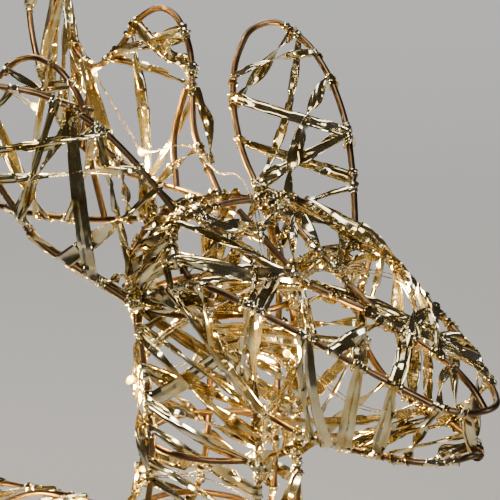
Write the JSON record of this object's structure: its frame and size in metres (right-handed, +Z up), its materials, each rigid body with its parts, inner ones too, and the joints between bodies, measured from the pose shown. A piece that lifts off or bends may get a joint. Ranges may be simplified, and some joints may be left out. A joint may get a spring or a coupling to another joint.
{
  "type": "light up yard reindeer",
  "caption": "Standing wire frame reindeer laced with crinkled foil tape and strung with micro LEDs, with folding legs and a battery box in its belly.",
  "frame": {"origin": "middle of the ground area under the figure, on the ground", "axes": "-Y the way the reindeer faces, +Z up, +X its left"},
  "size_m": [0.2546, 0.8848, 1.1339],
  "materials": {
    "bronze_wire": "satin metallic lacquer",
    "steel_rod": "satin",
    "cap_plastic": "matte",
    "foil_tape": "metallised film, crinkled mirror",
    "string_wire": "bare lacquered wire",
    "led_drop": "clear resin, warm white light",
    "box_plastic": "fine moulded texture",
    "soft_rubber": "matte",
    "zinc_screw": "zinc plated",
    "contact_metal": "nickel plated",
    "cell_jacket": "gloss sleeve",
    "board": "solder resist"
  },
  "bodies": {
    "root": {"battery_box": "box_plastic", "body_hoops": "bronze_wire", "body_wires": "bronze_wire", "box_clip_screws": "zinc_screw", "box_clips": "cap_plastic", "brow_wires": "bronze_wire", "button_boot": "soft_rubber", "cable_gland": "soft_rubber", "cells": "cell_jacket", "circuit_board": "board", "contact_plates": "contact_metal", "contact_springs": "contact_metal", "crown_wires": "bronze_wire", "hinge_eyes": "bronze_wire", "jaw_wire": "bronze_wire", "leds": "led_drop", "left_antler_loop": "bronze_wire", "left_antler_struts": "bronze_wire", "left_ear_loop": "bronze_wire", "leg_leads": "string_wire", "lid_gasket": "soft_rubber", "lid_hinge_pin": "steel_rod", "light_string": "string_wire", "muzzle_wire": "bronze_wire", "neck_clips": "steel_rod", "neck_hoops": "bronze_wire", "neck_wires": "bronze_wire", "nose_bridge_wire": "bronze_wire", "right_antler_loop": "bronze_wire", "right_antler_struts": "bronze_wire", "right_ear_loop": "bronze_wire", "shoulder_loops": "bronze_wire", "tail_loop": "bronze_wire", "tape_antlers": "foil_tape", "tape_body": "foil_tape", "tape_ears": "foil_tape", "tape_head": "foil_tape", "tape_muzzle": "foil_tape", "tape_neck": "foil_tape", "tape_shoulders_and_thighs": "foil_tape", "thigh_loops": "bronze_wire"},
    "front_legs": {"front_hinge_rod": "steel_rod", "front_hoof_loops": "bronze_wire", "front_leg_leds": "led_drop", "front_leg_string": "string_wire", "front_leg_wires": "bronze_wire", "front_rod_caps": "cap_plastic", "front_stake_plates": "bronze_wire", "tape_front_legs": "foil_tape"},
    "hind_legs": {"hind_hinge_rod": "steel_rod", "hind_hoof_loops": "bronze_wire", "hind_leg_leds": "led_drop", "hind_leg_string": "string_wire", "hind_leg_wires": "bronze_wire", "hind_rod_caps": "cap_plastic", "hind_stake_plates": "bronze_wire", "tape_hind_legs": "foil_tape"},
    "battery_lid": {"battery_lid": "box_plastic", "lid_screw": "zinc_screw"},
    "push_button": {"push_button": "cap_plastic"}
  },
  "joints": [
    {"name": "front_legs_fold", "type": "hinge", "parent": "root", "child": "front_legs", "pos_m": [0, -0.1075, 0.39], "axis": [1, 0, 0], "range_deg": [0, 90]},
    {"name": "hind_legs_fold", "type": "hinge", "parent": "root", "child": "hind_legs", "pos_m": [0, 0.3255, 0.39], "axis": [1, 0, 0], "range_deg": [-90, 0]},
    {"name": "battery_lid_hinge", "type": "hinge", "parent": "root", "child": "battery_lid", "pos_m": [0, 0.0765, 0.5335], "axis": [1, 0, 0], "range_deg": [0, 110]},
    {"name": "push_button_travel", "type": "slide", "parent": "root", "child": "push_button", "axis": [1, 0, 0], "range_m": [0, 0.0015], "stiffness_N_per_m": 300, "springref_m": -0.001}
  ]
}
